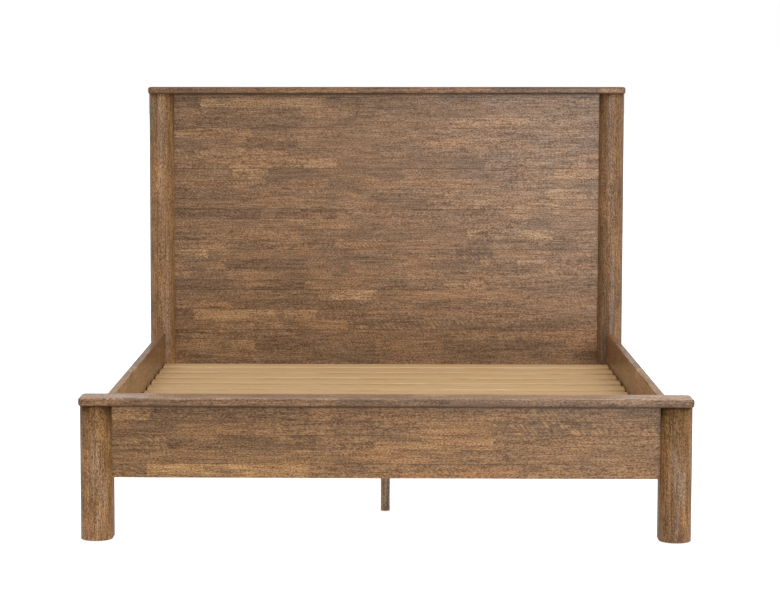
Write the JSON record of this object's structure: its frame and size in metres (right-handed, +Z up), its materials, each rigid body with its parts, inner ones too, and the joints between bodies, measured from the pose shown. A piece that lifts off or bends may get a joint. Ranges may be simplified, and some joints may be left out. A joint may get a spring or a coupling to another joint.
{
  "type": "wooden bed frame",
  "caption": "Free-standing slatted bed frame with tall panelled headboard, low footboard, half-round posts, overhanging caps and a centre beam on adjustable legs.",
  "frame": {"origin": "on the floor, in the middle of the frame's width and length", "axes": "+Z up, +X to the right seen from the foot end, +Y from the footboard to the headboard"},
  "size_m": [1.674, 2.222, 1.221],
  "materials": {
    "post_wood": "satin brown stain",
    "board_wood": "satin brown stain, rustic",
    "cap_wood": "satin brown stain",
    "rail_wood": "satin brown stain",
    "inner_pine": "planed, oiled",
    "slat_pine": "planed, unfinished",
    "dowel_beech": "raw",
    "plate_steel": "zinc plated",
    "screw_steel": "yellow zinc",
    "insert_brass": "turned",
    "foot_nylon": "moulded, matt"
  },
  "bodies": {
    "frame": {"footboard_post_left": "post_wood", "footboard_post_right": "post_wood", "headboard_post_left": "post_wood", "headboard_post_right": "post_wood", "headboard_board_1": "board_wood", "headboard_board_2": "board_wood", "headboard_board_3": "board_wood", "headboard_board_4": "board_wood", "headboard_board_5": "board_wood", "headboard_board_6": "board_wood", "headboard_lower_rail": "board_wood", "footboard_board_upper": "board_wood", "footboard_board_lower": "board_wood", "headboard_cap": "cap_wood", "footboard_cap": "cap_wood", "side_rail_left": "rail_wood", "side_rail_right": "rail_wood", "centre_leg_front": "rail_wood", "centre_leg_middle": "rail_wood", "centre_leg_rear": "rail_wood", "slat_cleat_left": "inner_pine", "slat_cleat_right": "inner_pine", "centre_beam": "inner_pine", "headboard_batten_left": "inner_pine", "headboard_batten_right": "inner_pine", "slat_01": "slat_pine", "slat_02": "slat_pine", "slat_03": "slat_pine", "slat_04": "slat_pine", "slat_05": "slat_pine", "slat_06": "slat_pine", "slat_07": "slat_pine", "slat_08": "slat_pine", "slat_09": "slat_pine", "slat_10": "slat_pine", "slat_11": "slat_pine", "slat_12": "slat_pine", "slat_13": "slat_pine", "cap_dowels": "dowel_beech", "rail_hook_foot_left": "plate_steel", "rail_hook_foot_right": "plate_steel", "rail_hook_head_left": "plate_steel", "rail_hook_head_right": "plate_steel", "post_plate_foot_left": "plate_steel", "post_plate_foot_right": "plate_steel", "post_plate_head_left": "plate_steel", "post_plate_head_right": "plate_steel", "beam_hanger_foot": "plate_steel", "beam_hanger_head": "plate_steel", "slat_screws": "screw_steel", "cleat_screws": "screw_steel", "batten_screws": "screw_steel", "hanger_screws": "screw_steel", "plate_screws": "screw_steel", "leg_screws": "screw_steel", "foot_inserts": "insert_brass", "post_glides": "foot_nylon"},
    "foot_front": {"levelling_foot_front": "foot_nylon"},
    "foot_middle": {"levelling_foot_middle": "foot_nylon"},
    "foot_rear": {"levelling_foot_rear": "foot_nylon"}
  },
  "joints": [
    {"name": "foot_front_height", "type": "slide", "parent": "frame", "child": "foot_front", "axis": [0, 0, 1], "range_m": [-0.01, 0]},
    {"name": "foot_middle_height", "type": "slide", "parent": "frame", "child": "foot_middle", "axis": [0, 0, 1], "range_m": [-0.01, 0]},
    {"name": "foot_rear_height", "type": "slide", "parent": "frame", "child": "foot_rear", "axis": [0, 0, 1], "range_m": [-0.01, 0]}
  ]
}
